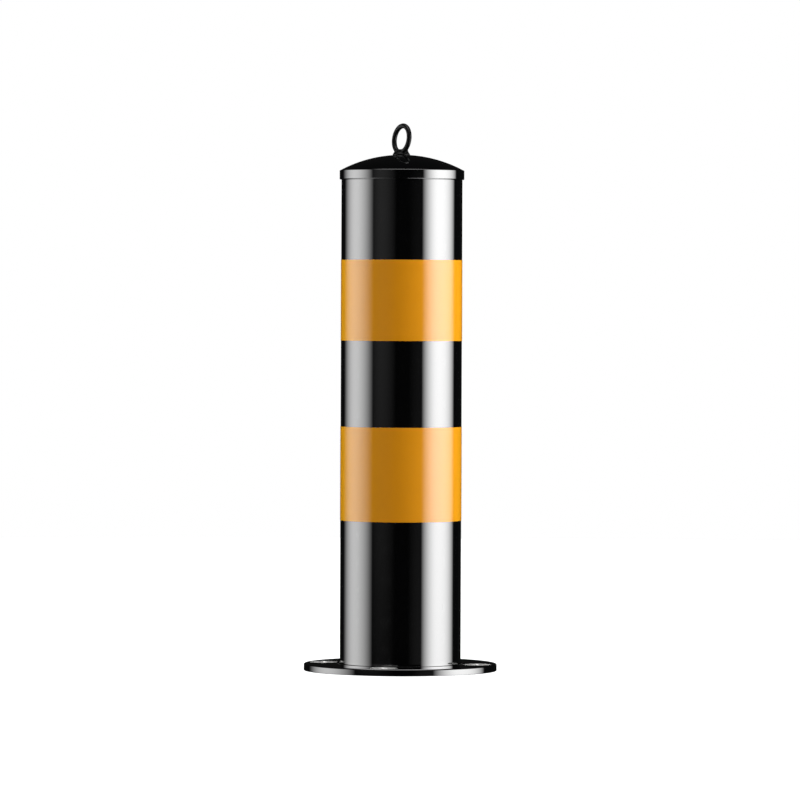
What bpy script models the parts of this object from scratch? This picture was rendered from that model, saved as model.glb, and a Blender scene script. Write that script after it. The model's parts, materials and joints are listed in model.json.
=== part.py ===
"""Retractable bollard: a telescopic steel post, its gas spring and lock, and its in-ground casing.

+Z is up, and the origin is on the post's axis at ground level. The post stands raised and
unlocked. Lengths here are in millimetres: place() turns a finished mesh into metres.
"""

from math import acos, cos, pi, radians, sin, sqrt, tan

import bmesh
import bpy
from mathutils import Matrix, Vector

MM = 0.001
GAP = 0.3  # between pieces that touch
ROUND = 48  # sides of the large rings
SMALL = 16  # sides of screws and rods

TRAVEL = 556.0  # from raised to lowered

# Post
POST_R, POST_WALL = 69.85, 3.0
POST_BOTTOM, POST_TOP = -256.0, 566.4
BORE_R = POST_R - POST_WALL
FILM_R = (70.10, 70.40)
UPPER_BAND = (380.9, 473.9)
LOWER_BAND = (173.4, 281.7)
RIM_R, RIM_BOTTOM, RIM_TOP, RIM_BEVEL = 71.95, POST_TOP + GAP, 577.5, 0.7
DOME_R, DOME_TOP, SHELL = 150.0, 595.5, 6.0
SPIGOT_R, SPIGOT_IN_R, SPIGOT_BOTTOM = BORE_R - GAP, 60.5, 545.0
BOSS_R, BOSS_BOTTOM = 19.0, 570.0
STOP_BOTTOM, GLIDE_BOTTOM, RETAINER_BOTTOM, RETAINER_R = -162.0, -202.0, -206.0, 72.6
NOTCH_X, NOTCH_Y = 72.4, 6.6  # of the slots that ride on the guide rails
BRACKET = (420.0, 428.0)
ROD_BUSH_R, ROD_BUSH_FLANGE_R, ROD_BUSH_Z = 8.0, 10.0, (417.0, 431.0)

# Eye bolt
EYE_R, EYE_WIRE_R = 15.4, 2.65
EYE_PIVOT, EYE_RISE = DOME_TOP + 2.0, 16.3  # where the ring leans from, and its centre above that
EYE_X, EYE_TURN, EYE_LEAN = -2.8, -57.0, 8.0
SHANK_R, SHANK_BOTTOM = 6.0, 570.0
COLLAR_X = -0.9
COLLAR = ((9.7, 0.0), (9.6, 0.7), (8.6, 1.7), (8.0, 3.0), (7.7, 4.8), (6.8, 5.9), (0.0, 6.2))
WASHER_R, WASHER_T, WASHER_TOP = 12.0, 2.5, DOME_TOP - 7.2
EYE_NUT_R, EYE_NUT_T = 10.4, 10.4

# Ground flange and casing
FLANGE_R, FLANGE_T, FLANGE_BORE_R = 111.5, 8.0, 73.2
SCREW_PCR, SCREW_HEAD_R, SCREW_R, SCREW_TURN = 90.5, 16.0, 8.0, -12.0
CASING_R, CASING_WALL = 84.15, 4.0
CASING_BORE_R = CASING_R - CASING_WALL
COLLAR_R, COLLAR_BOTTOM = 105.0, -15.0 - GAP
EDGE_R = 1.6  # of the flange's rounded outer edge
THREAD_BOTTOM, SCREW_END = -13.3, -12.8
KEY_R, KEY_DEPTH = 5.8, 5.0  # of a flange screw's hexagon socket
FLOOR_Z, FLOOR_T, FLOOR_R = -845.0, 12.0, 95.0
BUSH, BUSH_BORE_R = (-150.0, -4.3), 71.2
GUIDE_R = 79.6
RAIL_X, RAIL_Y = (73.0, 79.4), 6.0
LIP_R, WIPER_BOTTOM = 70.75, -4.0
BUFFER_R = (50.0, 69.0)
DRAIN_AT, DRAIN_R, DRAIN_LENGTH = (0.0, -32.0), (12.0, 14.5), 60.0
FIN_X, FIN_T, FIN_Z = (80.0, 130.0), 6.0, (-450.0, -390.0)
FIN_HOLE_X, FIN_HOLE_R = 112.0, 8.0
KEEPER_X, KEEPER_DEPTH, KEEPER_HEIGHT, KEEPER_WALL = (4.0, 34.0), 101.0, 34.0, 3.0

# Lock
LOCK_Y = 40.0
CASE_BOTTOM, CASE_FLOOR, CASE_TOP = -254.3, -241.3, -226.9
COVER_TOP = -220.6
COVER_SCREWS = [(x, y) for x in (-46, 46) for y in (-14, 14)]
COVER_SCREW_R, COVER_SCREW_BOTTOM = 3.0, -238.0
CASE_SCREW_TURNS, CASE_SCREW_Z, CASE_SCREW_SINK = (45, 135, 225, 315), -247.0, 0.42
MODULE, TEETH, PRESSURE = 2.0, 10, radians(25)
PITCH_R = MODULE * TEETH / 2
ADDENDUM, DEDENDUM, BACKLASH = 0.8 * MODULE, 1.05 * MODULE, 0.5
BOLT_X = (PITCH_R + DEDENDUM, 25.0)
BOLT_TIP_Y = 73.5
BOLT_Z = (-241.0, -226.9)
BOLT_SIDE = 0.8  # clearance beside a bolt in the post's window
ROD_R = 5.0
LOCK_ROD = (-249.0, 570.0)
PLUG_R, PLUG_Z = 10.0, (562.0, 584.5)
HOUSING_R, HOUSING_BOTTOM, HOUSING_NUT_R, HOUSING_NUT = 14.0, 556.0, 18.5, (561.7, 569.7)

# Gas spring
CYL_R, CYL_BORE_R = 14.0, 12.3
CYL_BOTTOM, CYL_TOP, CYL_CAVITY_TOP = -212.0, BRACKET[0] - GAP, 405.0
STUD_TOP, GLAND_T = 440.0, 12.0
PISTON = (-198.0, -188.0)
GAS_ROD = (-842.0, -187.0)
FOOT_R, FOOT_TOP = 10.0, -818.0
SPRING_NUT_R, SPRING_NUT = 9.8, (BRACKET[1] + GAP, 436.0)

# Finish: colour, metallic, roughness
FINISHES = {
    "black_gloss": ((0.012, 0.012, 0.013), 0.0, 0.08),
    "black_film": ((0.02, 0.02, 0.021), 0.6, 0.12),
    "yellow_film": ((0.80, 0.36, 0.03), 0.0, 0.15),
    "stainless": ((0.72, 0.72, 0.71), 1.0, 0.2),
    "zinc": ((0.55, 0.56, 0.57), 1.0, 0.4),
    "cast_alu": ((0.60, 0.61, 0.62), 1.0, 0.5),
    "rubber": ((0.02, 0.02, 0.02), 0.0, 0.7),
    "nylon": ((0.70, 0.69, 0.64), 0.0, 0.45),
    "brass": ((0.70, 0.52, 0.25), 1.0, 0.3),
}


def dome_z(radius):
    """A function giving the height of a sphere that shares the dome's centre."""
    return lambda x, y: DOME_TOP - DOME_R + sqrt(radius**2 - x**2 - y**2)


def turned(profile, sides=ROUND, at=(0.0, 0.0)):
    """A closed (r, z) profile turned about the vertical line through at. A z may be a function of x, y."""
    bm = bmesh.new()
    rings = []
    for r, z in profile:
        ring = []
        for i in range(sides if r > 0 else 1):
            x = r * cos(2 * pi * i / sides)
            y = r * sin(2 * pi * i / sides)
            height = z(x + at[0], y + at[1]) if callable(z) else z
            ring.append(bm.verts.new((x + at[0], y + at[1], height)))
        rings.append(ring)
    for low, high in zip(rings, rings[1:] + rings[:1]):
        for i in range(sides):
            j = (i + 1) % sides
            corners = [low[i % len(low)], low[j % len(low)], high[j % len(high)], high[i % len(high)]]
            corners = list(dict.fromkeys(corners))
            if len(corners) > 2:
                bm.faces.new(corners)
    bmesh.ops.recalc_face_normals(bm, faces=bm.faces)
    return bm


def ring(inner, outer, bottom, top, sides=ROUND, at=(0.0, 0.0), bevel=0.0):
    """A plain ring, or a disc where inner is 0, with its outer edges bevelled."""
    profile = [(inner, bottom), (outer - bevel, bottom)]
    if bevel:
        profile += [(outer, bottom + bevel), (outer, top - bevel)]
    else:
        profile += [(outer, top)]
    profile += [(outer - bevel, top)] if bevel else []
    return turned(profile + [(inner, top)], sides, at)


def prism(outline, bottom, top):
    """A flat outline of (x, y) points raised from bottom to top."""
    bm = bmesh.new()
    low = [bm.verts.new((x, y, bottom)) for x, y in outline]
    high = [bm.verts.new((x, y, top)) for x, y in outline]
    bm.faces.new(low[::-1])
    bm.faces.new(high)
    for i in range(len(outline)):
        j = (i + 1) % len(outline)
        bm.faces.new((low[i], low[j], high[j], high[i]))
    bmesh.ops.recalc_face_normals(bm, faces=bm.faces)
    return bm


def box(x, y, z):
    return prism([(x[0], y[0]), (x[1], y[0]), (x[1], y[1]), (x[0], y[1])], *z)


def polygon(sides, radius, at=(0.0, 0.0), turn=0.0):
    steps = [radians(turn) + 2 * pi * i / sides for i in range(sides)]
    return [(at[0] + radius * cos(a), at[1] + radius * sin(a)) for a in steps]


def moved(bm, matrix):
    bmesh.ops.transform(bm, matrix=matrix, verts=bm.verts)
    return bm


def about_z(degrees):
    return Matrix.Rotation(radians(degrees), 4, "Z")


def new_object(name, bm, axis=(0.0, 0.0, 0.0)):
    """An object in metres from a mesh in millimetres, with its origin at axis."""
    bmesh.ops.translate(bm, vec=-Vector(axis), verts=bm.verts)
    bmesh.ops.scale(bm, vec=(MM, MM, MM), verts=bm.verts)
    mesh = bpy.data.meshes.new(name)
    bm.to_mesh(mesh)
    bm.free()
    obj = bpy.data.objects.new(name, mesh)
    obj.location = Vector(axis) * MM
    bpy.context.scene.collection.objects.link(obj)
    return obj


def place(name, bm, finish, cuts=(), joins=(), axis=(0.0, 0.0, 0.0), parent=None):
    """A named piece with its material, after its unions and cuts."""
    obj = new_object(name, bm, axis)
    jobs = [(tool, "UNION") for tool in joins] + [(tool, "DIFFERENCE") for tool in cuts]
    tools = []
    for i, (tool, operation) in enumerate(jobs):
        tools.append(new_object(f"{name}_tool_{i}", tool))
        modifier = obj.modifiers.new(f"{operation.lower()}_{i}", "BOOLEAN")
        modifier.operation = operation
        modifier.solver = "EXACT"
        modifier.object = tools[-1]
    if tools:
        bpy.context.view_layer.update()
        shaped = obj.evaluated_get(bpy.context.evaluated_depsgraph_get())
        obj.data = bpy.data.meshes.new_from_object(shaped)
        obj.modifiers.clear()
        for tool in tools:
            bpy.data.objects.remove(tool)
    obj.data.name = name
    obj.data.shade_smooth()
    obj.data.set_sharp_from_angle(angle=radians(32))

    colour, metallic, roughness = FINISHES[finish]
    material = bpy.data.materials.new(name)
    material.use_nodes = True
    shader = material.node_tree.nodes["Principled BSDF"]
    shader.inputs["Base Color"].default_value = (*colour, 1.0)
    shader.inputs["Metallic"].default_value = metallic
    shader.inputs["Roughness"].default_value = roughness
    obj.data.materials.clear()
    obj.data.materials.append(material)
    if parent:
        obj.parent = parent
        obj.matrix_parent_inverse = parent.matrix_world.inverted()
    return obj


def joint_empty(name, at, parent=None):
    empty = bpy.data.objects.new(name, None)
    empty.empty_display_size = 0.05
    bpy.context.scene.collection.objects.link(empty)
    empty.parent = parent
    empty.location = Vector(at) * MM
    bpy.context.view_layer.update()
    return empty


def post_cap(post):
    """The domed cap: a spigot that enters the tube, a rim that covers its end, and the dome."""
    dome_edge = sqrt(DOME_R**2 - (RIM_TOP - DOME_TOP + DOME_R) ** 2)
    outer = [SHANK_R + GAP] + [dome_edge * k / 8 for k in range(2, 9)]
    profile = [(r, dome_z(DOME_R)(r, 0)) for r in outer]
    profile += [(RIM_R - RIM_BEVEL, RIM_TOP), (RIM_R, RIM_TOP - RIM_BEVEL)]
    profile += [(RIM_R, RIM_BOTTOM + RIM_BEVEL), (RIM_R - RIM_BEVEL, RIM_BOTTOM)]
    profile += [(SPIGOT_R, RIM_BOTTOM), (SPIGOT_R, SPIGOT_BOTTOM + 1), (SPIGOT_R - 1, SPIGOT_BOTTOM)]
    profile += [(SPIGOT_IN_R, SPIGOT_BOTTOM)]
    inside = DOME_R - SHELL
    for k in (6, 4.5, 3):
        profile.append((SPIGOT_IN_R * k / 6, dome_z(inside)(SPIGOT_IN_R * k / 6, 0)))
    profile.append((SHANK_R + GAP, dome_z(inside)(SHANK_R + GAP, 0)))
    top = dome_z(DOME_R - 2)
    boss = turned([(0, BOSS_BOTTOM), (BOSS_R, BOSS_BOTTOM), (BOSS_R, top), (0, top)], 36, (0, LOCK_Y))
    hole = ring(0, HOUSING_R + GAP, SPIGOT_BOTTOM, DOME_TOP + 20, 36, (0, LOCK_Y))
    place("post_cap", turned(profile), "black_gloss", [hole], [boss], parent=post)


def eye_bolt(post):
    """A ring on a flared collar, with a threaded shank through the cap, its washer and its nut."""
    wire = bmesh.new()
    around, across = 32, 10
    for i in range(around):
        a = 2 * pi * i / around
        for j in range(across):
            b = 2 * pi * j / across
            r = EYE_R + EYE_WIRE_R * cos(b)
            wire.verts.new((r * cos(a), EYE_WIRE_R * sin(b), EYE_RISE + r * sin(a)))
    wire.verts.ensure_lookup_table()
    for i in range(around):
        for j in range(across):
            k, m = (i + 1) % around, (j + 1) % across
            corners = (i * across + j, i * across + m, k * across + m, k * across + j)
            wire.faces.new([wire.verts[c] for c in corners])
    bmesh.ops.recalc_face_normals(wire, faces=wire.faces)
    lean = Matrix.Rotation(radians(EYE_LEAN), 4, "Y")
    moved(wire, Matrix.Translation((EYE_X, 0, EYE_PIVOT)) @ lean @ about_z(EYE_TURN))
    seat = DOME_TOP + GAP
    shank = [(0, SHANK_BOTTOM), (SHANK_R - 1, SHANK_BOTTOM), (SHANK_R, SHANK_BOTTOM + 1)]
    shank = turned([*shank, (SHANK_R, seat + 2), (0, seat + 2)], 24)
    collar = turned([(0, seat), *[(r, seat + z) for r, z in COLLAR]], 24, (COLLAR_X, 0))
    place("eye_bolt", shank, "black_gloss", joins=[collar, wire], parent=post)
    washer_bottom = WASHER_TOP - WASHER_T
    washer = ring(SHANK_R + GAP, WASHER_R, washer_bottom, WASHER_TOP, SMALL)
    place("eye_washer", washer, "zinc", parent=post)
    nut = prism(polygon(6, EYE_NUT_R), washer_bottom - GAP - EYE_NUT_T, washer_bottom - GAP)
    bore = ring(0, SHANK_R + GAP, SHANK_BOTTOM, DOME_TOP, SMALL)
    place("eye_nut", nut, "zinc", [bore], parent=post)


def post_pieces(post):
    window_x = (BOLT_X[0] - BOLT_SIDE, BOLT_X[1] + BOLT_SIDE)
    window_z = (BOLT_Z[0] - 1, BOLT_Z[1] + 0.5)
    back = box(window_x, (50, 80), window_z)
    front = box((-window_x[1], -window_x[0]), (-80, -50), window_z)
    sinks = [case_screw(CASE_SCREW_SINK, 72, turn) for turn in CASE_SCREW_TURNS]
    tube = ring(BORE_R, POST_R, POST_BOTTOM, POST_TOP)
    place("post_tube", tube, "black_film", [back, front, *sinks], parent=post)
    for name, (bottom, top) in (("band_upper", UPPER_BAND), ("band_lower", LOWER_BAND)):
        place(name, ring(*FILM_R, bottom, top), "yellow_film", parent=post)

    stop_top = BUSH[0] - GAP
    for name, inner, outer, bottom, top, finish in (
        ("stop_ring", POST_R + GAP, GUIDE_R, STOP_BOTTOM, stop_top, "zinc"),
        ("glide_ring", POST_R + GAP, GUIDE_R, GLIDE_BOTTOM, STOP_BOTTOM - GAP, "nylon"),
    ):
        slots = ((NOTCH_X, 90), (-90, -NOTCH_X))
        notches = [box(x, (-NOTCH_Y, NOTCH_Y), (GLIDE_BOTTOM - 8, stop_top + 10)) for x in slots]
        place(name, ring(inner, outer, bottom, top), finish, notches, parent=post)
    retainer = ring(POST_R + GAP, RETAINER_R, RETAINER_BOTTOM, GLIDE_BOTTOM - GAP)
    place("glide_retainer", retainer, "zinc", parent=post)

    bracket = ring(ROD_R + GAP, BORE_R - GAP, *BRACKET)
    hole = ring(0, ROD_BUSH_R + GAP, BRACKET[0] - 20, BRACKET[1] + 12, SMALL, (0, LOCK_Y))
    place("spring_bracket", bracket, "zinc", [hole], parent=post)
    low, high = ROD_BUSH_Z
    step = BRACKET[0] - GAP
    profile = [(ROD_R + GAP, low), (ROD_BUSH_FLANGE_R, low), (ROD_BUSH_FLANGE_R, step)]
    profile += [(ROD_BUSH_R, step), (ROD_BUSH_R, high), (ROD_R + GAP, high)]
    place("rod_bush", turned(profile, SMALL, (0, LOCK_Y)), "nylon", parent=post)


def case_screw(grow, head, turn):
    """A countersunk screw on a radius of the post, or with grow its hole, out to the radius head."""
    tip, neck = 54.0 - grow, 67.0 - grow
    shank = 3.0 + min(grow, GAP)
    reach = 3.0 + head - neck
    profile = [(0, tip), (shank, tip), (shank, neck), (reach, head), (0, head)]
    outward = about_z(turn) @ Matrix.Rotation(pi / 2, 4, "Y")
    return moved(turned(profile, SMALL), Matrix.Translation((0, 0, CASE_SCREW_Z)) @ outward)


def gas_spring(post):
    """The cylinder hangs from a bracket in the post, and its rod stands on the casing's floor."""
    profile = [(CYL_BORE_R, CYL_BOTTOM), (CYL_R, CYL_BOTTOM), (CYL_R, CYL_TOP - 2), (CYL_R - 2, CYL_TOP)]
    profile += [(ROD_R, CYL_TOP), (ROD_R, STUD_TOP - 1), (ROD_R - 1, STUD_TOP), (0, STUD_TOP)]
    profile += [(0, CYL_CAVITY_TOP), (CYL_BORE_R, CYL_CAVITY_TOP)]
    place("gas_cylinder", turned(profile, SMALL + 8), "black_gloss", parent=post)
    inner, outer = ROD_R + GAP, CYL_BORE_R - GAP
    gland = ring(inner, outer, CYL_BOTTOM, CYL_BOTTOM + GLAND_T, SMALL + 8)
    place("gas_gland", gland, "brass", parent=post)
    place("gas_piston", ring(inner, outer, *PISTON, SMALL + 8), "zinc")
    low, high = GAS_ROD
    place("gas_rod", turned([(0, low), (ROD_R, low), (ROD_R, high), (0, high)], SMALL), "stainless")
    foot = [(inner, FOOT_TOP), (inner, low - GAP), (0, low - GAP), (0, FLOOR_Z + GAP)]
    foot += [(FOOT_R, FLOOR_Z + GAP), (FOOT_R, FOOT_TOP - 1), (FOOT_R - 1, FOOT_TOP)]
    place("rod_foot", turned(foot, SMALL), "zinc")
    nut = prism(polygon(6, SPRING_NUT_R), *SPRING_NUT)
    place("spring_nut", nut, "zinc", [ring(0, inner, BRACKET[0], STUD_TOP, SMALL)], parent=post)


def tooth_half_angle(radius):
    """Half the angle that an involute tooth of the pinion spans at a radius."""
    base = PITCH_R * cos(PRESSURE)
    at = acos(min(1.0, base / radius))
    thickness = pi * MODULE / 2 - BACKLASH / 2
    return thickness / (2 * PITCH_R) + (tan(PRESSURE) - PRESSURE) - (tan(at) - at)


def pinion_outline():
    base, tip, root = PITCH_R * cos(PRESSURE), PITCH_R + ADDENDUM, PITCH_R - DEDENDUM
    radii = [root, base] + [base + (tip - base) * k / 4 for k in (1, 2, 3, 4)]
    points = []
    for tooth in range(TEETH):
        middle = 2 * pi * tooth / TEETH
        half = [(r, tooth_half_angle(max(r, base))) for r in radii]
        for r, a in half:
            points.append((r * cos(middle - a), LOCK_Y + r * sin(middle - a)))
        for r, a in reversed(half):
            points.append((r * cos(middle + a), LOCK_Y + r * sin(middle + a)))
    return points


def bolt_outline(side, rear, first, last):
    """A bar with a rack on its inner side. It points to +Y on the +X side, and to -Y on the other."""
    pitch = pi * MODULE
    teeth = []
    for k in range(-8, 9):
        middle = LOCK_Y + (k + 0.5) * pitch
        if first + pitch / 2 <= middle <= last - pitch / 2:
            for depth, sign in ((-DEDENDUM, -1), (ADDENDUM, -1), (ADDENDUM, 1), (-DEDENDUM, 1)):
                half = pitch / 4 - BACKLASH / 4 - depth * tan(PRESSURE)
                teeth.append((PITCH_R - depth, middle + sign * half))
    inner, outer = BOLT_X
    if side > 0:
        tip = [(inner, BOLT_TIP_Y - 1.5), (inner + 1.5, BOLT_TIP_Y)]
        tip += [(outer - 1.5, BOLT_TIP_Y), (outer, BOLT_TIP_Y - 1.5)]
        return [(inner, rear), *teeth, *tip, (outer, rear)]
    tip = [(outer, 1.5 - BOLT_TIP_Y), (outer - 1.5, -BOLT_TIP_Y)]
    tip += [(inner + 1.5, -BOLT_TIP_Y), (inner, 1.5 - BOLT_TIP_Y)]
    return [(-x, y) for x, y in [*tip, *teeth, (inner, rear), (outer, rear)]]


def lock(post):
    """A key plug in the cap turns a long rod, whose pinion drives two bolts out through the tube."""
    grooves = []
    for side in (1, -1):
        x = sorted((side * (BOLT_X[0] - GAP), side * (BOLT_X[1] + GAP)))
        grooves.append(box(x, (-80, 80), (CASE_FLOOR, -200)))
    grooves.append(box((-12.4, 12.4), (18.5, 63), (CASE_FLOOR, -200)))
    middle = ring(0, ROD_R + 3, -260, -200, SMALL)
    journal = ring(0, ROD_R + GAP, -250, -200, SMALL, (0, LOCK_Y))
    hole_r, hole_bottom = COVER_SCREW_R + GAP, COVER_SCREW_BOTTOM - 1
    threads = [ring(0, hole_r, hole_bottom, -200, SMALL, at) for at in COVER_SCREWS]
    sockets = [case_screw(CASE_SCREW_SINK, 72, turn) for turn in CASE_SCREW_TURNS]
    case = ring(0, BORE_R - GAP, CASE_BOTTOM, CASE_TOP)
    place("lock_case", case, "cast_alu", [*grooves, middle, journal, *threads, *sockets], parent=post)

    cover = ring(0, BORE_R - GAP, CASE_TOP + GAP, COVER_TOP)
    holes = [ring(0, hole_r, hole_bottom, -200, SMALL, at) for at in COVER_SCREWS]
    holes += [ring(0, ROD_R + 3, -260, -200, SMALL), ring(0, ROD_R + GAP, -250, -200, SMALL, (0, LOCK_Y))]
    place("lock_cover", cover, "zinc", holes, parent=post)
    head = COVER_TOP + GAP
    profile = [(0, COVER_SCREW_BOTTOM), (COVER_SCREW_R, COVER_SCREW_BOTTOM), (COVER_SCREW_R, head)]
    profile += [(5.5, head), (5.5, head + 2.5), (4.5, head + 3.5), (0, head + 3.5)]
    for i, at in enumerate(COVER_SCREWS, 1):
        socket = prism(polygon(6, 2.6, at), head + 1.4, head + 6)
        screw = turned(profile, SMALL, at)
        place(f"lock_cover_screw_{i}", screw, "stainless", [socket], parent=post)
    for i, turn in enumerate(CASE_SCREW_TURNS, 1):
        place(f"lock_case_screw_{i}", case_screw(0, 69.6, turn), "stainless", parent=post)

    axis = (0, LOCK_Y, 0)
    spindle = joint_empty("lock_spindle_axis", axis, post)
    low, high = LOCK_ROD
    rod = [(0, low), (ROD_R, low), (ROD_R, high), (0, high)]
    place("lock_rod", turned(rod, SMALL, (0, LOCK_Y)), "zinc", axis=axis, parent=spindle)
    bore = ring(0, ROD_R + GAP, -250, -220, SMALL, (0, LOCK_Y))
    pinion = prism(pinion_outline(), CASE_FLOOR + 0.4, CASE_TOP - GAP)
    place("lock_pinion", pinion, "zinc", [bore], axis=axis, parent=spindle)
    blind = ring(0, ROD_R + GAP, PLUG_Z[0] - 12, high + GAP, SMALL, (0, LOCK_Y))
    low, high = PLUG_Z
    key = prism(polygon(3, 6.4, (0, LOCK_Y), 90), high - 9.5, high + 15.5)
    plug = [(0, low), (PLUG_R, low), (PLUG_R, high - 0.6), (PLUG_R - 0.6, high), (0, high)]
    plug = turned(plug, 32, (0, LOCK_Y))
    place("lock_plug", plug, "stainless", [blind, key], axis=axis, parent=spindle)

    inner, low, top = PLUG_R + GAP, HOUSING_BOTTOM, dome_z(DOME_R - 0.2)
    body = [(inner, low), (HOUSING_R, low), (HOUSING_R, top), (inner, top)]
    place("lock_housing", turned(body, 32, (0, LOCK_Y)), "stainless", parent=post)
    nut = ring(HOUSING_R + GAP, HOUSING_NUT_R, *HOUSING_NUT, 32, (0, LOCK_Y))
    place("lock_housing_nut", nut, "brass", parent=post)

    span = ((-1, "bolt_front", 60, 36, 60), (1, "bolt_back", 18, 20, 46))
    for side, name, rear, first, last in span:
        outline = bolt_outline(side, rear, first, last)
        at = (side * sum(BOLT_X) / 2, 0, sum(BOLT_Z) / 2)
        slide = joint_empty(f"{name}_slide", at, post)
        place(name, prism(outline, *BOLT_Z), "stainless", axis=at, parent=slide)


def cover_flange():
    """The visible ring at the ground, its four flush countersunk screws and the wiper round the post."""
    outer = []
    for step in (90, 45, 0):
        a = radians(step)
        outer.append((FLANGE_R - EDGE_R + EDGE_R * sin(a), FLANGE_T - EDGE_R + EDGE_R * cos(a)))
    profile = [(FLANGE_BORE_R, 0), (FLANGE_R - 0.6, 0), (FLANGE_R, 0.6), *outer]
    profile += [(FLANGE_BORE_R + 0.8, FLANGE_T), (FLANGE_BORE_R, FLANGE_T - 0.8)]
    turns = [SCREW_TURN + 90 * k for k in range(4)]
    spots = [(SCREW_PCR * cos(radians(a)), SCREW_PCR * sin(radians(a))) for a in turns]
    sinks, threads = [], []
    for at in spots:
        wide, narrow = SCREW_HEAD_R + GAP, SCREW_R + GAP
        sink = [(0, -2), (narrow, -2), (narrow, 0), (wide, FLANGE_T), (wide, 12), (0, 12)]
        sinks.append(turned(sink, 24, at))
        threads.append(ring(0, narrow, THREAD_BOTTOM, 5, SMALL, at))
    place("cover_flange", turned(profile, 64), "black_film", sinks)
    for i, at in enumerate(spots, 1):
        profile = [(0, SCREW_END), (SCREW_R - 1, SCREW_END), (SCREW_R, SCREW_END + 1), (SCREW_R, 0)]
        profile += [(SCREW_HEAD_R, FLANGE_T - 0.3), (SCREW_HEAD_R - 0.2, FLANGE_T), (0, FLANGE_T)]
        socket = prism(polygon(6, KEY_R, at, turns[i - 1]), FLANGE_T - KEY_DEPTH, FLANGE_T + 5)
        place(f"cover_screw_{i}", turned(profile, 24, at), "stainless", [socket])
    collar = ring(CASING_BORE_R, COLLAR_R, COLLAR_BOTTOM, -GAP)
    place("casing_collar", collar, "zinc", threads)
    lip, foot = FLANGE_BORE_R - GAP, CASING_BORE_R - GAP
    wiper = [(LIP_R, WIPER_BOTTOM), (foot, WIPER_BOTTOM), (foot, -2 * GAP), (lip, -2 * GAP)]
    wiper += [(lip, FLANGE_T - 0.9), (LIP_R, FLANGE_T - 0.4)]
    place("wiper_seal", turned(wiper), "rubber")


def keeper_shell(side, z, inset):
    """A keeper's block at a height, on the +Y or the -Y side, or with inset the hollow in it."""
    x = sorted((side * (KEEPER_X[0] + inset), side * (KEEPER_X[1] - inset)))
    y = sorted((side * (60 if inset else 70), side * (KEEPER_DEPTH - inset)))
    half = KEEPER_HEIGHT / 2 - inset
    return box(x, y, (z - half, z + half))


def keeper_cuts(side, z):
    return [keeper_shell(side, z, KEEPER_WALL), ring(0, CASING_R + GAP, z - 30, z + 30)]


def casing():
    """The in-ground tube with its keepers, guides, floor, buffer, drain and anchors."""
    middle = (BOLT_Z[0] + BOLT_Z[1]) / 2
    heights = {"raised": middle, "lowered": middle - TRAVEL}
    windows = []
    for z in heights.values():
        for side in (1, -1):
            x = sorted((side * (BOLT_X[0] - 1.0), side * (BOLT_X[1] + 1.0)))
            windows.append(box(x, sorted((side * 60, side * 95)), (z - 8.5, z + 8.5)))
    tube = ring(CASING_BORE_R, CASING_R, FLOOR_Z + GAP, COLLAR_BOTTOM - GAP)
    place("casing_tube", tube, "zinc", windows)
    for word, z in heights.items():
        for side, face in ((1, "back"), (-1, "front")):
            place(f"keeper_{word}_{face}", keeper_shell(side, z, 0), "zinc", keeper_cuts(side, z))

    place("guide_bush", ring(BUSH_BORE_R, CASING_BORE_R - GAP, *BUSH), "nylon")
    for name, side in (("guide_rail_left", -1), ("guide_rail_right", 1)):
        x = sorted(side * edge for edge in RAIL_X)
        place(name, box(x, (-RAIL_Y, RAIL_Y), (FLOOR_Z + 2, BUSH[0] - GAP)), "zinc")

    place("buffer_ring", ring(*BUFFER_R, FLOOR_Z + GAP, POST_BOTTOM - TRAVEL - GAP), "rubber")
    underside = FLOOR_Z - FLOOR_T
    hole = ring(0, DRAIN_R[0], underside - 8, FLOOR_Z + 5, SMALL, DRAIN_AT)
    place("base_plate", ring(0, FLOOR_R, underside, FLOOR_Z), "zinc", [hole])
    stub = ring(*DRAIN_R, FLOOR_Z - DRAIN_LENGTH, underside - GAP, SMALL, DRAIN_AT)
    place("drain_stub", stub, "zinc")

    to_hole = Matrix.Translation((FIN_HOLE_X, 0, sum(FIN_Z) / 2)) @ Matrix.Rotation(pi / 2, 4, "X")
    for i, turn in enumerate((0, 90, 180, 270), 1):
        fin = box(FIN_X, (-FIN_T / 2, FIN_T / 2), FIN_Z)
        eye = moved(ring(0, FIN_HOLE_R, -10, 10, SMALL), to_hole)
        wall = ring(0, CASING_R + GAP, FIN_Z[0] - 30, FIN_Z[1] + 30)
        tools = [moved(eye, about_z(turn)), wall]
        place(f"anchor_fin_{i}", moved(fin, about_z(turn)), "zinc", tools)


def main():
    for old in list(bpy.data.objects):
        bpy.data.objects.remove(old)
    post = joint_empty("post_lift_axis", (0, 0, 0))
    post_pieces(post)
    post_cap(post)
    eye_bolt(post)
    gas_spring(post)
    lock(post)
    cover_flange()
    casing()


main()
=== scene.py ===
"""The looks of the retractable bollard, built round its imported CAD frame.

Lengths are in millimetres unless a name says otherwise. Sizes and places come from the frame's
own boxes, and the constants below only add the small details that a box can't tell.
"""

from math import acos, cos, pi, radians, sin, sqrt, tan

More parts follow.
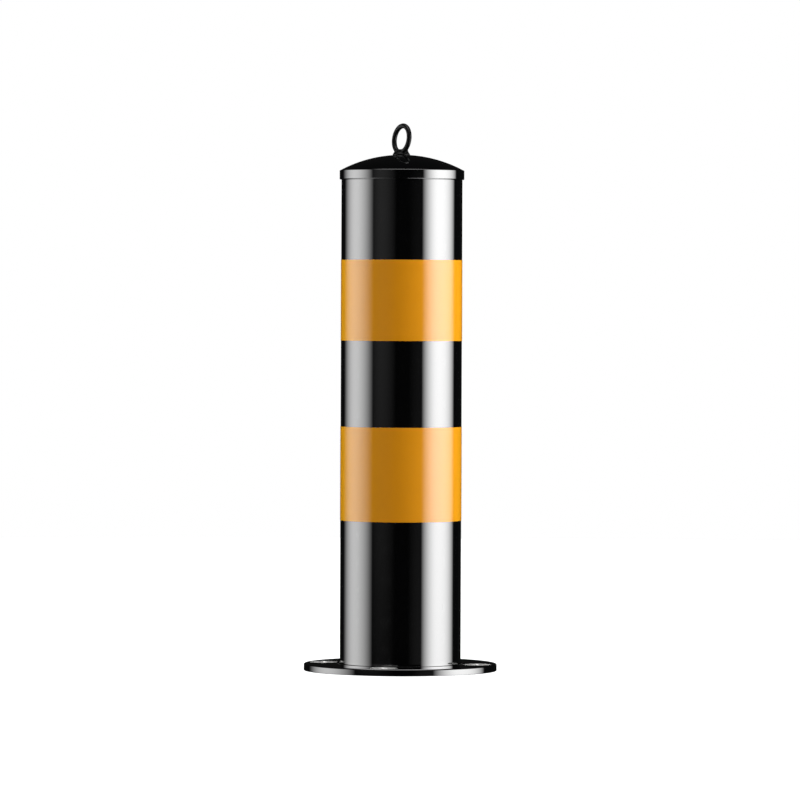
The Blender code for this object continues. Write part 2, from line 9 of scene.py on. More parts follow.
import bmesh
import bpy
from mathutils import Matrix, Vector
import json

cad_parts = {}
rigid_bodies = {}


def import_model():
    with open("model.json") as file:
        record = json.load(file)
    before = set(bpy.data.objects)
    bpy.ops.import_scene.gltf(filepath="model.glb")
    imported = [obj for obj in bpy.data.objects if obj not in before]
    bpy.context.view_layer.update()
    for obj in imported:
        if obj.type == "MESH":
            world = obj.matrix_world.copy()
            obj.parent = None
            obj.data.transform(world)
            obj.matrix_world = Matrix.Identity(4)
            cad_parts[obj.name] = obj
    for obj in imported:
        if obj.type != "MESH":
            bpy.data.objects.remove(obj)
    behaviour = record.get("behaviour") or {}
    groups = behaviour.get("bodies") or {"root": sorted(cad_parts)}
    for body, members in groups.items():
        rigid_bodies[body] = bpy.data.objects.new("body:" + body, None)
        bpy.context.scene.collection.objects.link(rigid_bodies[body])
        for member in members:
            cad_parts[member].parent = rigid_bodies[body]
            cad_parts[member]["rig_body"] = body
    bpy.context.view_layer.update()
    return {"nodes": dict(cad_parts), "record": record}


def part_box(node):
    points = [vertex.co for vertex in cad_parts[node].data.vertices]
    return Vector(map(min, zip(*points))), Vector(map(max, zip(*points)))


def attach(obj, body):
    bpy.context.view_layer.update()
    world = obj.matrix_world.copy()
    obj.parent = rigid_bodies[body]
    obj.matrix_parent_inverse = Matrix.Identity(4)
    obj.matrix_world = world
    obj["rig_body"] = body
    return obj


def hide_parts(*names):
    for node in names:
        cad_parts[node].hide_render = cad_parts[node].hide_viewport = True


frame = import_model()

MM = 0.001
GAP = 0.3  # the clearance that the CAD keeps between touching pieces
ROUND = 160  # sides of the large rings
SMALL = 48  # sides of screws, rods and bushes
ARC_STEPS = 4  # segments of a rounded edge

# Reflective film: its faces off the tube, its small edge, and its lap and the lap's rise in degrees
FILM_INSIDE, FILM_OUTSIDE, FILM_EDGE = 0.02, 0.27, 0.08
LAP, LAP_CLIMB = 9, 5

# Dome, cap and eye bolt
DOME_R, DOME_RISE, SHELL, SPIGOT_IN_R, RIM_EDGE = 150.0, 18.0, 6.0, 60.5, 0.7
BOSS_R, BOSS_BOTTOM, BOSS_SINK = 19, 570, 2  # under the lock, ending below the dome's face
EYE_R, EYE_WIRE_R, EYE_TURN, EYE_LEAN = 15.4, 2.9, -57.0, 8.0
EYE_X, EYE_LIFT, EYE_RISE = -2.8, 1.7, 16.3  # where the ring leans from, and its centre above that
SHANK_R = 6.0
COLLAR_X = -0.9  # of the collar's own axis
COLLAR = (  # radius, height over its seat, and fillet
    (0, 0, 0), (9.4, -0.7, 0), (10.1, -0.7, 0), (9.9, 0.6, 0.4), (9.0, 1.8, 0),
    (8.2, 3.1, 0), (7.8, 4.9, 0), (6.9, 6.0, 0), (0, 6.3, 0),
)

# Rings and nuts on the post
EYE_NUT_R, SPRING_NUT_R = 10.4, 9.8  # to a corner
ROD_BUSH_R, ROD_BUSH_FLANGE_R = 8, 10
NOTCH_X, NOTCH_Y = 72.4, 6.6  # of the slots that ride on the guide rails

# Gas spring
GROOVE_AT, GROOVE_DEPTH, GROOVE_HALF = 16, 0.9, 1.2  # rolled in above the cylinder's lower end
CYLINDER_CAVITY_TOP, ROD_FOOT_R = 405, 10

# Flange and casing
FLANGE_BORE_R, FLANGE_EDGE_R = 73.2, 1.6
SCREW_PCR, SCREW_SHANK_R, SCREW_HEAD_R, SCREW_TURN = 90.5, 8.0, 16.0, -12.0
SCREW_KEY_R, SCREW_KEY_DEPTH, SCREW_LEAD_R = 5.8, 5, (5.1, 6.4)
THREAD_BOTTOM = -13.3
LIP_R, WIPER_STEP = 70.75, -0.6
BUSH_BORE_R, BUFFER_R, DRAIN_R = 71.2, (50, 69), (12, 14.5)
KEEPER_WALL, KEEPER_INSIDE, KEEPER_OUTSIDE = 3, 98, 101
WINDOW_HALF_HEIGHT, WINDOW_OUT = 8.5, 26.0  # of the casing's windows for the bolts
FIN_X, FIN_HALF_T, FIN_HOLE_X, FIN_HOLE_R = (80, 130), 3, 112, 8
WELD_OUT, WELD_R, WELD_RIPPLE, WELD_RIPPLES = 1.6, 2.4, 0.16, 72

# Lock
PITCH_R, MODULE, TEETH, PRESSURE = 10.0, 2.0, 10, radians(25)
ADDENDUM, DEDENDUM, BACKLASH = 0.8 * MODULE, 1.05 * MODULE, 0.5
ROD_R = 5.0
BOLT_NOSE, BOLT_SIDE_GAP = 1.5, 0.8  # its chamfer, and its clearance in the tube's window
CASE_FLOOR, GAS_ROD_HOLE_R = 13.0, 8
BELOW_CASE, ABOVE_CASE, JOURNAL_BOTTOM = -260, -200, -250  # ends of the case's cutters
BOLT_GROOVE_OUT, WELL_X, WELL_Y = 25.3, (-12.4, 12.4), (18.5, 63)  # the well is the pinion's
PLUG_R, PLUG_BORE_TOP, KEY_R, KEY_DEPTH = 10, 570.3, 6.4, 9.5
HOUSING_R, HOUSING_BORE_R, HOUSING_NUT_R, HOUSING_NUT_FLAT = 14, 10.3, 18.5, 16.6
COVER_SCREW_R, COVER_SCREW_HEAD_R, COVER_SCREW_HOLE_R, COVER_SCREW_HOLE_BOTTOM = 3, 5.5, 3.3, -239
COVER_KEY_R, COVER_KEY_DEPTH = 2.6, 2.1
CASE_SCREW_R, CASE_SCREW_TIP, CASE_SCREW_NECK, CASE_SCREW_HEAD = 3.0, 54, 67.0, 69.6
CASE_SCREW_TURNS = (45, 135, 225, 315)
SINK_GROW, SINK_END = 0.42, 72  # of the countersunk holes for the case's screws
CROSS_FLOOR, CROSS_HALF, CROSS_HALF_W = 66.2, 3.4, 0.6  # floor from the axis, half length and width

# Camera and studio
CAMERA_AT = (-1.36, -6468.0, 425.5)
CAMERA_LENS, CAMERA_DOWN, CAMERA_ROLL = 252.0, 1.0026, 0.218
FLOOR_R, FLOOR_SIDES, FLOOR_FILL = 3600.0, 128, 0.10


# Frame measurements ---------------------------------------------------------------------------


def span(node):
    """The lowest and highest corner of a CAD node, in millimetres."""
    low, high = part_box(node)
    return low / MM, high / MM


def radius(node):
    low, high = span(node)
    return (high.x - low.x) / 2


def levels(node):
    low, high = span(node)
    return low.z, high.z


def middle(node):
    low, high = span(node)
    return (low + high) / 2


DOME_TOP = levels("post_cap")[1]
DOME_CENTRE = DOME_TOP - DOME_R
POST_R = radius("post_tube")
BORE_R = radius("spring_bracket") + GAP
CASING_R = radius("casing_tube")
CASING_BORE_R = radius("guide_bush") + GAP
LOCK_Y = middle("lock_rod").y


# Meshes ---------------------------------------------------------------------------------------


def dome_z(at_radius):
    """A function giving the height of a sphere that shares the dome's centre."""
    return lambda x, y: DOME_CENTRE + sqrt(at_radius**2 - x**2 - y**2)


def rounded(corners, steps=ARC_STEPS):
    """A closed (r, z) profile from (r, z, fillet) corners."""
    points = []
    for i, (r, z, fillet) in enumerate(corners):
        here = Vector((r, z))
        if not fillet:
            points.append((r, z))
            continue
        back = (Vector(corners[i - 1][:2]) - here).normalized()
        ahead = (Vector(corners[(i + 1) % len(corners)][:2]) - here).normalized()
        half = back.angle(ahead) / 2
        centre = here + (back + ahead).normalized() * fillet / sin(half)
        start = here + back * fillet / tan(half) - centre
        end = here + ahead * fillet / tan(half) - centre
        for k in range(steps + 1):
            points.append(tuple(centre + fillet * start.slerp(end, k / steps)))
    return points


def turned(profile, sides=ROUND, at=(0.0, 0.0)):
    """A closed (r, z) profile turned about the vertical line through at. A z may be a function of x, y."""
    bm = bmesh.new()
    rings = []
    for r, z in profile:
        points = []
        for i in range(sides if r > 0 else 1):
            x = at[0] + r * cos(2 * pi * i / sides)
            y = at[1] + r * sin(2 * pi * i / sides)
            points.append(bm.verts.new((x, y, z(x, y) if callable(z) else z)))
        rings.append(points)
    for low, high in zip(rings, rings[1:] + rings[:1]):
        for i in range(sides):
            j = (i + 1) % sides
            corners = [low[i % len(low)], low[j % len(low)], high[j % len(high)], high[i % len(high)]]
            corners = list(dict.fromkeys(corners))
            if len(corners) > 2:
                bm.faces.new(corners)
    bmesh.ops.recalc_face_normals(bm, faces=bm.faces)
    return bm


def cylinder(outer, bottom, top, sides=ROUND, at=(0.0, 0.0)):
    """A plain cylinder with sharp edges, mostly a cutter. Its top may be a function of x, y."""
    return turned([(0, bottom), (outer, bottom), (outer, top), (0, top)], sides, at)


def ring(inner, outer, bottom, top, sides=ROUND, at=(0.0, 0.0), edge=0.3):
    """A plain ring, or a disc where inner is 0, with rounded edges."""
    inside = edge if inner else 0
    rim = min(edge + 1.5, (top - bottom) * 0.4)
    corners = [(inner, bottom, inside), (outer, bottom, edge), (outer, bottom + rim, 0)]
    corners += [(outer, top - rim, 0), (outer, top, edge), (inner, top, inside)]
    return turned(rounded(corners), sides, at)


def prism(outline, bottom, top, edge=0.0):
    """A flat outline raised from bottom to top, its top and bottom edges bevelled."""
    bm = bmesh.new()
    low = [bm.verts.new((x, y, bottom)) for x, y in outline]
    high = [bm.verts.new((x, y, top)) for x, y in outline]
    bm.faces.new(low[::-1])
    bm.faces.new(high)
    for i in range(len(outline)):
        j = (i + 1) % len(outline)
        bm.faces.new((low[i], low[j], high[j], high[i]))
    bmesh.ops.recalc_face_normals(bm, faces=bm.faces)
    if edge:
        bmesh.ops.bevel(bm, geom=bm.edges[:], offset=edge, segments=2, affect="EDGES")
    return bm


def box(x, y, z, edge=0.0):
    return prism([(x[0], y[0]), (x[1], y[0]), (x[1], y[1]), (x[0], y[1])], *z, edge)


def node_box(node, edge):
    low, high = span(node)
    return box((low.x, high.x), (low.y, high.y), (low.z, high.z), edge)


def polygon(sides, size, at=(0.0, 0.0), turn=0.0):
    steps = [radians(turn) + 2 * pi * i / sides for i in range(sides)]
    return [(at[0] + size * cos(a), at[1] + size * sin(a)) for a in steps]


def moved(bm, matrix):
    bmesh.ops.transform(bm, matrix=matrix, verts=bm.verts)
    return bm


def about_z(degrees):
    return Matrix.Rotation(radians(degrees), 4, "Z")


def torus(large, small, z, around, across, ripple=0.0, ripples=0):
    """A ring of round wire, with ripples along it where it is a weld bead."""
    bm = bmesh.new()
    loops = []
    for i in range(around):
        a = 2 * pi * i / around
        wire = small * (1 + ripple * abs(sin(ripples * a / 2)))
        loop = []
        for j in range(across):
            b = 2 * pi * j / across
            r = large + wire * cos(b)
            loop.append(bm.verts.new((r * cos(a), r * sin(a), z + wire * sin(b))))
        loops.append(loop)
    for i in range(around):
        for j in range(across):
            k, m = (i + 1) % around, (j + 1) % across
            bm.faces.new((loops[i][j], loops[k][j], loops[k][m], loops[i][m]))
    bmesh.ops.recalc_face_normals(bm, faces=bm.faces)
    return bm


def weld_bead(z):
    """The rippled bead round the casing tube at a height."""
    return torus(CASING_R + WELD_OUT, WELD_R, z, 288, 10, WELD_RIPPLE, WELD_RIPPLES)


def added(bm, *others):
    """Other meshes joined to the first as shells of their own."""
    for other in others:
        mesh = bpy.data.meshes.new("shell")
        other.to_mesh(mesh)
        other.free()
        bm.from_mesh(mesh)
        bpy.data.meshes.remove(mesh)
    return bm


# Materials ------------------------------------------------------------------------------------


class Look:
    """A Principled material and short ways to add nodes to it."""

    def __init__(self, name, **sockets):
        self.material = bpy.data.materials.new(name)
        self.material.use_nodes = True
        self.tree = self.material.node_tree
        self.shader = self.tree.nodes["Principled BSDF"]
        self.place = self.add("TexCoord").outputs["Object"]
        for socket, value in sockets.items():
            self.shader.inputs[socket.replace("_", " ")].default_value = value

    def add(self, kind, **settings):
        node = self.tree.nodes.new("ShaderNode" + kind)
        for key, value in settings.items():
            setattr(node, key, value)
        return node

    def join(self, source, target):
        self.tree.links.new(source, target)

    def stretched(self, scale):
        """Object coordinates in metres, stretched by a scale along each axis."""
        mapping = self.add("Mapping")
        mapping.inputs["Scale"].default_value = scale
        self.join(self.place, mapping.inputs["Vector"])
        return mapping.outputs["Vector"]

    def noise(self, scale, detail=2.0, roughness=0.5, stretch=None):
        node = self.add("TexNoise")
        node.inputs["Scale"].default_value = scale
        node.inputs["Detail"].default_value = detail
        node.inputs["Roughness"].default_value = roughness
        self.join(self.stretched(stretch) if stretch else self.place, node.inputs["Vector"])
        return node.outputs["Fac"]

    def cells(self, scale, output="Color"):
        node = self.add("TexVoronoi")
        node.inputs["Scale"].default_value = scale
        self.join(self.place, node.inputs["Vector"])
        return node.outputs[output]

    def range(self, value, low, high, to_low, to_high, shape="SMOOTHSTEP"):
        node = self.add("MapRange", interpolation_type=shape)
        for key, number in zip(("From Min", "From Max", "To Min", "To Max"), (low, high, to_low, to_high)):
            node.inputs[key].default_value = number
        self.join(value, node.inputs["Value"])
        return node.outputs["Result"]

    def blend(self, factor, first, second):
        """A mix of two colours, each a colour or another node's output."""
        node = self.add("Mix", data_type="RGBA")
        self.join(factor, node.inputs["Factor"])
        for key, colour in (("A", first), ("B", second)):
            socket = next(s for s in node.inputs if s.name == key and s.type == "RGBA")
            if isinstance(colour, tuple):
                socket.default_value = (*colour, 1.0)
            else:
                self.join(colour, socket)
        return next(s for s in node.outputs if s.type == "RGBA")

    def maths(self, operation, first, second):
        node = self.add("Math", operation=operation)
        for socket, value in zip(node.inputs, (first, second)):
            if isinstance(value, (int, float)):
                socket.default_value = value
            else:
                self.join(value, socket)
        return node.outputs["Value"]

    def worn(self):
        """A mask of the convex edges, broken up into patches."""
        point = self.add("NewGeometry").outputs["Pointiness"]
        edge = self.range(point, 0.53, 0.62, 0.0, 1.0)
        patches = self.range(self.noise(60.0, 4.0), 0.48, 0.66, 0.0, 1.0)
        return self.maths("MULTIPLY", edge, patches)

    def relief(self, *layers):
        """Bumps from (height, distance in metres) layers, the first one underneath."""
        normal = None
        for height, distance in layers:
            node = self.add("Bump")
            node.inputs["Strength"].default_value = 1.0
            node.inputs["Distance"].default_value = distance
            self.join(height, node.inputs["Height"])
            if normal:
                self.join(normal, node.inputs["Normal"])
            normal = node.outputs["Normal"]
        self.join(normal, self.shader.inputs["Normal"])

    def colour(self, output):
        self.join(output, self.shader.inputs["Base Color"])

    def rough(self, output):
        self.join(output, self.shader.inputs["Roughness"])


def gloss_black(name, orange_peel):
    """Deep black lacquer: faint orange peel, hairlines that run up and down, and dust in the edges."""
    look = Look(name, Coat_Weight=1.0, Coat_Roughness=0.02, IOR=1.5)
    tint = look.blend(look.noise(9.0), (0.0007, 0.0007, 0.0009), (0.0016, 0.0016, 0.0018))
    dust = look.range(look.noise(900.0, 3.0), 0.70, 0.82, 0.0, 0.5)
    tint = look.blend(dust, tint, (0.006, 0.006, 0.006))
    look.colour(look.blend(look.worn(), tint, (0.03, 0.03, 0.031)))
    hairlines = look.range(look.noise(1.0, 3.0, 0.6, (900.0, 900.0, 6.0)), 0.62, 0.80, 0.0, 0.05)
    smudges = look.range(look.noise(28.0, 4.0), 0.40, 0.75, 0.045, 0.085)
    look.rough(look.maths("ADD", smudges, hairlines))
    look.relief((look.noise(260.0, 1.0), orange_peel))
    return look.material


def satin_black():
    """Black paint on a forging: duller than the lacquer, with a fine grain."""
    look = Look("satin_black_paint", Specular_IOR_Level=0.12)
    tint = look.blend(look.noise(30.0, 3.0), (0.0015, 0.0015, 0.0016), (0.004, 0.004, 0.004))
    look.colour(look.blend(look.worn(), tint, (0.012, 0.012, 0.012)))
    look.rough(look.range(look.noise(220.0, 3.0), 0.3, 0.7, 0.36, 0.48))
    look.relief((look.noise(1100.0, 2.0), 6.0e-6))
    return look.material


def yellow_film():
    """Retro-reflective film: a yellow dye over fine glass beads, under a clear face."""
    look = Look("yellow_reflective_film", IOR=1.41)
    tint = look.blend(look.noise(9.0, 2.0), (0.82, 0.313, 0.0095), (0.85, 0.329, 0.0115))
    beads = look.range(look.cells(2400.0, "Distance"), 0.1, 0.6, 0.0, 1.0)
    tint = look.blend(beads, tint, (0.78, 0.289, 0.0085))
    look.colour(look.blend(look.worn(), tint, (0.60, 0.25, 0.03)))
    look.rough(look.range(look.noise(20.0, 2.0), 0.35, 0.75, 0.07, 0.10))
    look.relief((look.noise(180.0, 1.0), 1.0e-6), (beads, 0.8e-6))
    return look.material


def stainless():
    """Satin stainless steel with the fine rings that turning leaves."""
    look = Look("satin_stainless", Metallic=1.0)
    tint = look.blend(look.noise(70.0, 3.0), (0.68, 0.675, 0.665), (0.80, 0.795, 0.78))
    grime = look.range(look.noise(420.0, 5.0), 0.60, 0.80, 0.0, 0.5)
    look.colour(look.blend(grime, tint, (0.34, 0.32, 0.30)))
    look.rough(look.range(look.noise(160.0, 4.0), 0.30, 0.72, 0.50, 0.62))
    rings = look.add("TexWave", wave_type="RINGS", rings_direction="Z")
    rings.inputs["Scale"].default_value = 700.0
    rings.inputs["Distortion"].default_value = 0.6
    look.join(look.place, rings.inputs["Vector"])
    look.relief((rings.outputs["Fac"], 4.0e-6))
    return look.material


def galvanised():
    """Hot-dip zinc: grey spangle, slight runs in the coat and a bloom of white rust."""
    look = Look("hot_dip_galvanised", Metallic=0.9)
    spangle = look.range(look.cells(95.0), 0.0, 1.0, 0.0, 1.0, "LINEAR")
    tint = look.blend(spangle, (0.36, 0.375, 0.385), (0.60, 0.61, 0.62))
    tint = look.blend(look.range(look.noise(24.0, 5.0), 0.55, 0.75, 0.0, 0.7), tint, (0.66, 0.67, 0.67))
    look.colour(look.blend(look.worn(), tint, (0.72, 0.73, 0.74)))
    blotches = look.range(look.noise(40.0, 4.0), 0.3, 0.7, 0.0, 0.2)
    look.rough(look.maths("ADD", look.range(spangle, 0.0, 1.0, 0.22, 0.38), blotches))
    look.relief((look.noise(18.0, 3.0), 1.2e-4), (look.noise(600.0, 2.0), 1.0e-5))
    return look.material


def cast_aluminium():
    look = Look("cast_aluminium", Metallic=1.0)
    look.colour(look.blend(look.noise(55.0, 4.0), (0.50, 0.505, 0.51), (0.66, 0.665, 0.67)))
    look.rough(look.range(look.noise(240.0, 4.0), 0.3, 0.7, 0.42, 0.62))
    look.relief((look.noise(700.0, 3.0), 3.0e-5))
    return look.material


def rubber():
    look = Look("black_rubber", IOR=1.45)
    tint = look.blend(look.noise(60.0, 4.0), (0.010, 0.010, 0.010), (0.020, 0.020, 0.019))
    dust = look.range(look.noise(800.0, 4.0), 0.58, 0.78, 0.0, 0.5)
    look.colour(look.blend(dust, tint, (0.05, 0.048, 0.045)))
    look.rough(look.range(look.noise(300.0, 3.0), 0.3, 0.7, 0.62, 0.80))
    look.relief((look.noise(1500.0, 2.0), 1.5e-5))
    return look.material


def nylon():
    look = Look("natural_nylon", IOR=1.53)
    tint = look.blend(look.noise(40.0, 4.0), (0.66, 0.645, 0.59), (0.76, 0.75, 0.70))
    grease = look.range(look.noise(26.0, 5.0), 0.60, 0.78, 0.0, 0.35)
    look.colour(look.blend(grease, tint, (0.42, 0.38, 0.29)))
    look.rough(look.range(look.noise(120.0, 3.0), 0.3, 0.7, 0.36, 0.52))
    look.relief((look.noise(1.0, 2.0, 0.5, (60.0, 60.0, 2200.0)), 8.0e-6))
    return look.material


def brass():
    look = Look("turned_brass", Metallic=1.0)
    tint = look.blend(look.noise(90.0, 4.0), (0.66, 0.47, 0.20), (0.78, 0.58, 0.30))
    tarnish = look.range(look.noise(200.0, 5.0), 0.58, 0.80, 0.0, 0.7)
    look.colour(look.blend(tarnish, tint, (0.32, 0.20, 0.09)))
    look.rough(look.range(look.noise(260.0, 3.0), 0.3, 0.7, 0.22, 0.40))
    look.relief((look.noise(1.0, 2.0, 0.5, (40.0, 40.0, 2600.0)), 6.0e-6))
    return look.material


def spring_black():
    look = Look("semi_gloss_black", Coat_Weight=0.3, Coat_Roughness=0.15)
    tint = look.blend(look.noise(20.0, 3.0), (0.010, 0.010, 0.011), (0.018, 0.018, 0.019))
    look.colour(look.blend(look.worn(), tint, (0.12, 0.12, 0.12)))
    look.rough(look.range(look.noise(200.0, 3.0), 0.3, 0.7, 0.22, 0.34))
    look.relief((look.noise(900.0, 2.0), 8.0e-6))
    return look.material


LOOKS = {
    "gloss_black": gloss_black("gloss_black_lacquer", 1.5e-6),
    "black_cap": gloss_black("gloss_black_cap", 2.5e-6),
    "satin_black": satin_black(),
    "yellow_film": yellow_film(),
    "stainless": stainless(),
    "galvanised": galvanised(),
    "cast_aluminium": cast_aluminium(),
    "rubber": rubber(),
    "nylon": nylon(),
    "brass": brass(),
    "gas_spring_black": spring_black(),
}
SLOT_OF = {part["node"]: part["material_slot"] for part in frame["record"]["subparts"]}


# Placing --------------------------------------------------------------------------------------


def new_object(name, bm, at=(0.0, 0.0, 0.0)):
    """An object in metres from a mesh in millimetres, with its origin at a point."""
    bmesh.ops.translate(bm, vec=-Vector(at), verts=bm.verts)
    bmesh.ops.scale(bm, vec=(MM, MM, MM), verts=bm.verts)
    mesh = bpy.data.meshes.new(name)
    bm.to_mesh(mesh)
    bm.free()
    obj = bpy.data.objects.new(name, mesh)
    obj.location = Vector(at) * MM
    bpy.context.scene.collection.objects.link(obj)
    return obj


def shape(obj):
    """The object's mesh with its modifiers applied."""
    bpy.context.view_layer.update()
    done = obj.evaluated_get(bpy.context.evaluated_depsgraph_get())
    obj.data = bpy.data.meshes.new_from_object(done)
    obj.modifiers.clear()


def place(node, bm, joins=(), cuts=(), keeps=(), shells=(), at=(0.0, 0.0, 0.0), blend=None):
    """The finished piece that stands for a CAD node, after its unions, cuts and trims.

    blend is a voxel size in millimetres: the piece is remeshed and smoothed, as a forging is."""
    obj = new_object(f"{node}_finished", bm, at)
    tools = []
    for operation, meshes in (("UNION", joins), ("DIFFERENCE", cuts), ("INTERSECT", keeps)):
        for mesh in meshes:
            tools.append(new_object(f"{node}_tool", mesh, (0, 0, 0)))
            modifier = obj.modifiers.new(operation, "BOOLEAN")
            modifier.operation = operation
            modifier.solver = "EXACT"
            modifier.object = tools[-1]
    if blend:
        remesh = obj.modifiers.new("forging", "REMESH")
        remesh.mode = "VOXEL"
        remesh.voxel_size = blend * MM
        smooth = obj.modifiers.new("smooth", "SMOOTH")
        smooth.factor = 0.5
        smooth.iterations = 3
    if obj.modifiers:
        shape(obj)
    for tool in tools:
        bpy.data.objects.remove(tool)
    if shells:
        whole = bmesh.new()
        whole.from_mesh(obj.data)
        for mesh in shells:
            bmesh.ops.translate(mesh, vec=-Vector(at), verts=mesh.verts)
            bmesh.ops.scale(mesh, vec=(MM, MM, MM), verts=mesh.verts)
        added(whole, *shells).to_mesh(obj.data)
        whole.free()
    return dress(obj, node)


def dress(obj, node):
    """Smooth faces, the slot's material, and the body that the CAD node rides on."""
    obj.data.shade_smooth()
    obj.data.set_sharp_from_angle(angle=radians(38))
    normals = obj.modifiers.new("normals", "WEIGHTED_NORMAL")
    normals.keep_sharp = True
    obj.data.materials.clear()
    obj.data.materials.append(LOOKS[SLOT_OF[node]])
    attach(obj, frame["nodes"][node]["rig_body"])
    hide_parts(node)
    return obj


# Post -----------------------------------------------------------------------------------------


def case_screw(grow, head, turn):
    """A countersunk screw on a radius of the post, or with grow its hole, out to the radius head."""
    tip, neck = CASE_SCREW_TIP - grow, CASE_SCREW_NECK - grow
    shaft = CASE_SCREW_R + min(grow, GAP)
    reach = CASE_SCREW_R + (head - CASE_SCREW_NECK) + grow
    profile = [(0, tip), (shaft, tip), (shaft, neck), (reach, head), (0, head)]
    outward = about_z(turn) @ Matrix.Rotation(pi / 2, 4, "Y")
    height = middle("lock_case_screw_1").z
    return moved(turned(profile, 32), Matrix.Translation((0, 0, height)) @ outward)


def case_sinks():
    """The countersunk holes for the case's screws."""
    return [case_screw(SINK_GROW, SINK_END, turn) for turn in CASE_SCREW_TURNS]


def post_tube():
    """The tube, with a window for each bolt and countersunk holes for the case's screws."""
    windows = []
    for side, bolt in ((1, "bolt_back"), (-1, "bolt_front")):
        low, high = span(bolt)
        depth = sorted((side * 50, side * 80))
        width = (low.x - BOLT_SIDE_GAP, high.x + BOLT_SIDE_GAP)
        windows.append(box(width, depth, (low.z - 1, high.z + 0.5)))
    tube = ring(BORE_R, POST_R, *levels("post_tube"), edge=0.5)
    place("post_tube", tube, cuts=[*windows, *case_sinks()])


def film(node):
    """A strip of film wrapped once round the tube, its end lapped over its start at the back."""
    bottom, top = levels(node)
    inside, outside = POST_R + FILM_INSIDE, POST_R + FILM_OUTSIDE
    shoulder = outside - FILM_EDGE
    section = [(inside, bottom), (shoulder, bottom), (outside, bottom + FILM_EDGE), (outside, bottom + 1)]
    section += [(outside, top - 1), (outside, top - FILM_EDGE), (shoulder, top), (inside, top)]
    bm = bmesh.new()
    loops = []
    for degree in range(360 + LAP + 1):
        share = min(1.0, max(0.0, (degree - 360 + LAP_CLIMB) / LAP_CLIMB))
        lift = (outside - inside + FILM_INSIDE) * share * share * (3 - 2 * share)
        a = radians(degree + 90 - LAP / 2)
        loops.append([bm.verts.new(((r + lift) * cos(a), (r + lift) * sin(a), z)) for r, z in section])
    for first, second in zip(loops, loops[1:]):
        for i in range(len(first)):
            j = (i + 1) % len(first)
            bm.faces.new((first[i], first[j], second[j], second[i]))
    bm.faces.new(loops[0])
    bm.faces.new(loops[-1][::-1])
    bmesh.ops.recalc_face_normals(bm, faces=bm.faces)
    place(node, bm)


def dome_arc(at_radius, first, last, steps):
    """Points of a dome's section from one radius to another."""
    height = dome_z(at_radius)
    radii = [first + (last - first) * k / steps for k in range(steps + 1)]
    return [(r, height(r, 0), 0) for r in radii]


def post_cap():
    """The domed cap, with a rim over the tube's end, a spigot inside it and a boss for the lock."""
    rim_r = radius("post_cap")
    spigot_bottom = levels("post_cap")[0]
    rim_bottom, rim_top = levels("post_tube")[1] + GAP, DOME_TOP - DOME_RISE
    dome_edge = sqrt(DOME_R**2 - (rim_top - DOME_CENTRE) ** 2)
    corners = dome_arc(DOME_R, SHANK_R + GAP, dome_edge, 48)
    corners += [(rim_r, rim_top, RIM_EDGE), (rim_r, rim_bottom, RIM_EDGE), (BORE_R - GAP, rim_bottom, 0)]
    corners += [(BORE_R - GAP, spigot_bottom, 1.0), (SPIGOT_IN_R, spigot_bottom, 0.5)]
    corners += dome_arc(DOME_R - SHELL, SPIGOT_IN_R, SHANK_R + GAP, 24)
    boss = cylinder(BOSS_R, BOSS_BOTTOM, dome_z(DOME_R - BOSS_SINK), 96, (0, LOCK_Y))
    hole = cylinder(HOUSING_R + GAP, 540, 620, 96, (0, LOCK_Y))
    place("post_cap", turned(rounded(corners), 192), joins=[boss], cuts=[hole])


def eye_bolt():
    """A forged ring on a flared collar, with the shank that goes through the cap."""
    low = levels("eye_bolt")[0]
    seat = DOME_TOP + GAP
    wire = moved(torus(EYE_R, EYE_WIRE_R, 0, 128, 32), Matrix.Rotation(pi / 2, 4, "X"))
    lean = Matrix.Rotation(radians(EYE_LEAN), 4, "Y") @ Matrix.Translation((0, 0, EYE_RISE))
    moved(wire, Matrix.Translation((EYE_X, 0, seat + EYE_LIFT)) @ lean @ about_z(EYE_TURN))
    shank = [(0, low, 0), (SHANK_R, low, 1.0), (SHANK_R, seat + 2, 0), (0, seat + 2, 0)]
    collar = turned(rounded([(r, seat + z, fillet) for r, z, fillet in COLLAR]), 96, (COLLAR_X, 0))
    place("eye_bolt", turned(rounded(shank), 96), joins=[collar, wire], blend=0.25)


def washers_and_nuts():
    """The plain rings, bushes and hexagon nuts inside the post."""
    place("eye_washer", ring(SHANK_R + GAP, radius("eye_washer"), *levels("eye_washer"), SMALL))
    hex_nut("eye_nut", EYE_NUT_R, SHANK_R + GAP)
    hex_nut("spring_nut", SPRING_NUT_R, ROD_R + GAP)
    place("glide_retainer", ring(POST_R + GAP, radius("glide_retainer"), *levels("glide_retainer")))
    bracket = ring(ROD_R + GAP, BORE_R - GAP, *levels("spring_bracket"), edge=0.6)
    hole = ring(0, ROD_BUSH_R + GAP, 400, 440, SMALL, (0, LOCK_Y))
    place("spring_bracket", bracket, cuts=[hole])
    for node in ("stop_ring", "glide_ring"):
        sides = ((NOTCH_X, 90), (-90, -NOTCH_X))
        notches = [box(x, (-NOTCH_Y, NOTCH_Y), (-210, -140)) for x in sides]
        place(node, ring(POST_R + GAP, radius(node), *levels(node), edge=0.8), cuts=notches)
    low, high = levels("rod_bush")
    seat = levels("spring_bracket")[0] - GAP
    corners = [(ROD_R + GAP, low, 0.3), (ROD_BUSH_FLANGE_R, low, 0.5), (ROD_BUSH_FLANGE_R, seat, 0.3)]
    corners += [(ROD_BUSH_R, seat, 0), (ROD_BUSH_R, high, 0.5), (ROD_R + GAP, high, 0.3)]
    place("rod_bush", turned(rounded(corners), SMALL, (0, LOCK_Y)))


